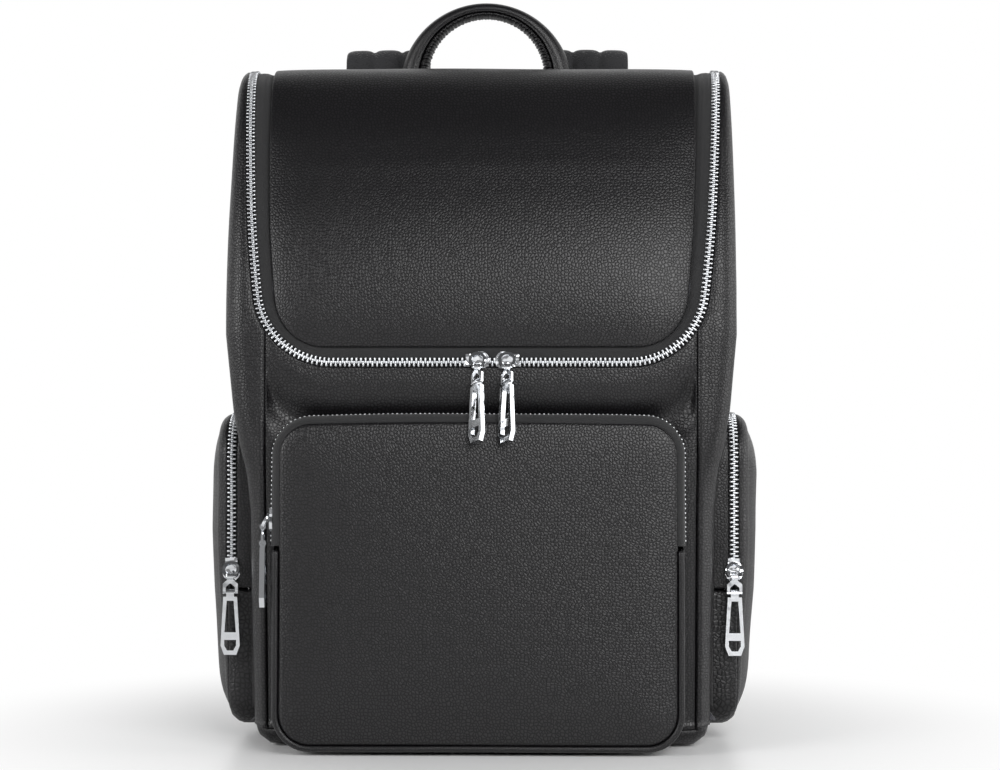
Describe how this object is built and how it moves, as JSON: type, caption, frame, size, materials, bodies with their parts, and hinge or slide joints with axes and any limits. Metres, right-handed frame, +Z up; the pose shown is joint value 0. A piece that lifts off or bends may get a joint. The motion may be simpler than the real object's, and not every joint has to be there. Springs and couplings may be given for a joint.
{
  "type": "leather backpack",
  "caption": "Black pebbled-leather backpack with a U-shaped zipped flap, a zipped front pocket, zipped side pockets, a carry handle and shoulder straps.",
  "frame": {"origin": "centre of the base, on the surface it stands on", "axes": "+Z up, -Y towards the front with the front pocket, +X to the right of a viewer facing the front"},
  "size_m": [0.361, 0.2258, 0.4935],
  "materials": {
    "pebbled_leather": "satin, pebble-grained",
    "padded_fabric": "matte woven mesh",
    "lining_fabric": "matte woven",
    "webbing": "matte herringbone weave",
    "buckle_plastic": "matte moulded",
    "zip_metal": "polished",
    "chrome_hardware": "polished die-cast"
  },
  "bodies": {
    "bag": {"front_panel": "pebbled_leather", "side_panel_left": "pebbled_leather", "side_panel_right": "pebbled_leather", "base_panel": "pebbled_leather", "top_yoke": "pebbled_leather", "pocket_gusset": "pebbled_leather", "pocket_face_lower": "pebbled_leather", "pocket_piping": "pebbled_leather", "side_shell_left": "pebbled_leather", "side_piping_left": "pebbled_leather", "side_shell_right": "pebbled_leather", "side_piping_right": "pebbled_leather", "handle_tabs": "pebbled_leather", "back_panel": "padded_fabric", "back_pads": "padded_fabric", "strap_root_left": "padded_fabric", "strap_root_right": "padded_fabric", "laptop_divider": "lining_fabric", "main_tape_body": "webbing", "pocket_tape_gusset": "webbing", "strap_webbing_left": "webbing", "strap_webbing_right": "webbing", "base_board": "buckle_plastic", "main_teeth_body": "zip_metal", "pocket_teeth_gusset": "zip_metal", "side_teeth_body_left": "zip_metal", "side_teeth_body_right": "zip_metal"},
    "flap": {"flap_leather": "pebbled_leather", "flap_lining": "lining_fabric", "main_tape_flap": "webbing", "main_teeth_flap": "zip_metal"},
    "pocket_lid": {"pocket_face_lid": "pebbled_leather", "pocket_tape_lid": "webbing", "pocket_teeth_lid": "zip_metal"},
    "side_lid_left": {"side_lid_left": "pebbled_leather", "side_teeth_lid_left": "zip_metal"},
    "side_lid_right": {"side_lid_right": "pebbled_leather", "side_teeth_lid_right": "zip_metal"},
    "carry_handle": {"carry_handle": "pebbled_leather"},
    "strap_left": {"strap_pad_left": "padded_fabric", "strap_adjuster_left": "buckle_plastic"},
    "strap_right": {"strap_pad_right": "padded_fabric", "strap_adjuster_right": "buckle_plastic"},
    "main_left_slider": {"main_left_slider": "chrome_hardware"},
    "main_right_slider": {"main_right_slider": "chrome_hardware"},
    "pocket_slider": {"pocket_slider": "chrome_hardware"},
    "main_left_link": {"main_left_link": "chrome_hardware"},
    "main_right_link": {"main_right_link": "chrome_hardware"},
    "pocket_link": {"pocket_link": "chrome_hardware"},
    "main_left_puller": {"main_left_puller": "chrome_hardware"},
    "main_right_puller": {"main_right_puller": "chrome_hardware"},
    "pocket_puller": {"pocket_puller": "chrome_hardware"},
    "side_slider_left": {"side_slider_left": "chrome_hardware"},
    "side_link_left": {"side_link_left": "chrome_hardware"},
    "side_puller_left": {"side_puller_left": "chrome_hardware"},
    "side_slider_right": {"side_slider_right": "chrome_hardware"},
    "side_link_right": {"side_link_right": "chrome_hardware"},
    "side_puller_right": {"side_puller_right": "chrome_hardware"}
  },
  "joints": [
    {"name": "flap_hinge", "type": "hinge", "parent": "bag", "child": "flap", "pos_m": [0, 0.042, 0.4392], "axis": [-1, 0, 0], "range_deg": [0, 88]},
    {"name": "pocket_lid_hinge", "type": "hinge", "parent": "bag", "child": "pocket_lid", "pos_m": [0, -0.1073, 0.12983], "axis": [1, 0, 0], "range_deg": [0, 25]},
    {"name": "side_lid_left_hinge", "type": "hinge", "parent": "bag", "child": "side_lid_left", "pos_m": [-0.1805, 0.004, 0.09815], "axis": [0, -1, 0], "range_deg": [0, 28]},
    {"name": "side_lid_right_hinge", "type": "hinge", "parent": "bag", "child": "side_lid_right", "pos_m": [0.1805, 0.004, 0.09815], "axis": [0, 1, 0], "range_deg": [0, 28]},
    {"name": "carry_handle_hinge", "type": "hinge", "parent": "bag", "child": "carry_handle", "pos_m": [0, 0.06, 0.4455], "axis": [-1, 0, 0], "range_deg": [-70, 10], "stiffness_Nm_per_rad": 0.05},
    {"name": "strap_left_hinge", "type": "hinge", "parent": "bag", "child": "strap_left", "pos_m": [-0.067, 0.1003, 0.446], "axis": [1, 0, 0], "range_deg": [0, 20], "deforming": ["strap_webbing_left"]},
    {"name": "strap_right_hinge", "type": "hinge", "parent": "bag", "child": "strap_right", "pos_m": [0.067, 0.1003, 0.446], "axis": [1, 0, 0], "range_deg": [0, 20], "deforming": ["strap_webbing_right"]},
    {"name": "main_left_slide", "type": "slide", "parent": "bag", "child": "main_left_slider", "axis": [-1, 0, 0], "range_m": [0, 0.092]},
    {"name": "main_left_link_hinge", "type": "hinge", "parent": "main_left_slider", "child": "main_left_link", "pos_m": [-0.002, -0.09596, 0.24139], "axis": [-1, 0, 0], "range_deg": [0, 90]},
    {"name": "main_left_puller_hinge", "type": "hinge", "parent": "main_left_link", "child": "main_left_puller", "pos_m": [-0.002, -0.09982, 0.23184], "axis": [-0.6691, 0.689, -0.2784], "range_deg": [0, 60]},
    {"name": "main_right_slide", "type": "slide", "parent": "bag", "child": "main_right_slider", "axis": [1, 0, 0], "range_m": [0, 0.078]},
    {"name": "main_right_link_hinge", "type": "hinge", "parent": "main_right_slider", "child": "main_right_link", "pos_m": [0.0166, -0.09596, 0.24139], "axis": [-1, 0, 0], "range_deg": [0, 90]},
    {"name": "main_right_puller_hinge", "type": "hinge", "parent": "main_right_link", "child": "main_right_puller", "pos_m": [0.0166, -0.09982, 0.23184], "axis": [-0.6691, 0.689, -0.2784], "range_deg": [0, 60]},
    {"name": "pocket_slide", "type": "slide", "parent": "bag", "child": "pocket_slider", "axis": [0, 0.0523, 0.9986], "range_m": [-0.005, 0.034]},
    {"name": "pocket_link_hinge", "type": "hinge", "parent": "pocket_slider", "child": "pocket_link", "pos_m": [-0.1362, -0.09919, 0.1412], "axis": [0, 0.9986, -0.0523], "range_deg": [0, 90]},
    {"name": "pocket_puller_hinge", "type": "hinge", "parent": "pocket_link", "child": "pocket_puller", "pos_m": [-0.1362, -0.09973, 0.13093], "axis": [0, 0.9986, -0.0523], "range_deg": [0, 60]},
    {"name": "side_left_slide", "type": "slide", "parent": "bag", "child": "side_slider_left", "axis": [0, 0, 1], "range_m": [-0.004, 0.058]},
    {"name": "side_left_link_hinge", "type": "hinge", "parent": "side_slider_left", "child": "side_link_left", "pos_m": [-0.162, -0.0582, 0.1068], "axis": [-1, 0, 0], "range_deg": [0, 90]},
    {"name": "side_left_puller_hinge", "type": "hinge", "parent": "side_link_left", "child": "side_puller_left", "pos_m": [-0.162, -0.0582, 0.0965], "axis": [-1, 0, 0], "range_deg": [0, 60]},
    {"name": "side_right_slide", "type": "slide", "parent": "bag", "child": "side_slider_right", "axis": [0, 0, 1], "range_m": [-0.004, 0.058]},
    {"name": "side_right_link_hinge", "type": "hinge", "parent": "side_slider_right", "child": "side_link_right", "pos_m": [0.162, -0.0582, 0.1068], "axis": [-1, 0, 0], "range_deg": [0, 90]},
    {"name": "side_right_puller_hinge", "type": "hinge", "parent": "side_link_right", "child": "side_puller_right", "pos_m": [0.162, -0.0582, 0.0965], "axis": [-1, 0, 0], "range_deg": [0, 60]}
  ],
  "couplings": [
    {"joint": "main_left_link_hinge", "follows": "pocket_lid_hinge", "ratio": 2.2},
    {"joint": "main_right_link_hinge", "follows": "pocket_lid_hinge", "ratio": 2.2}
  ]
}
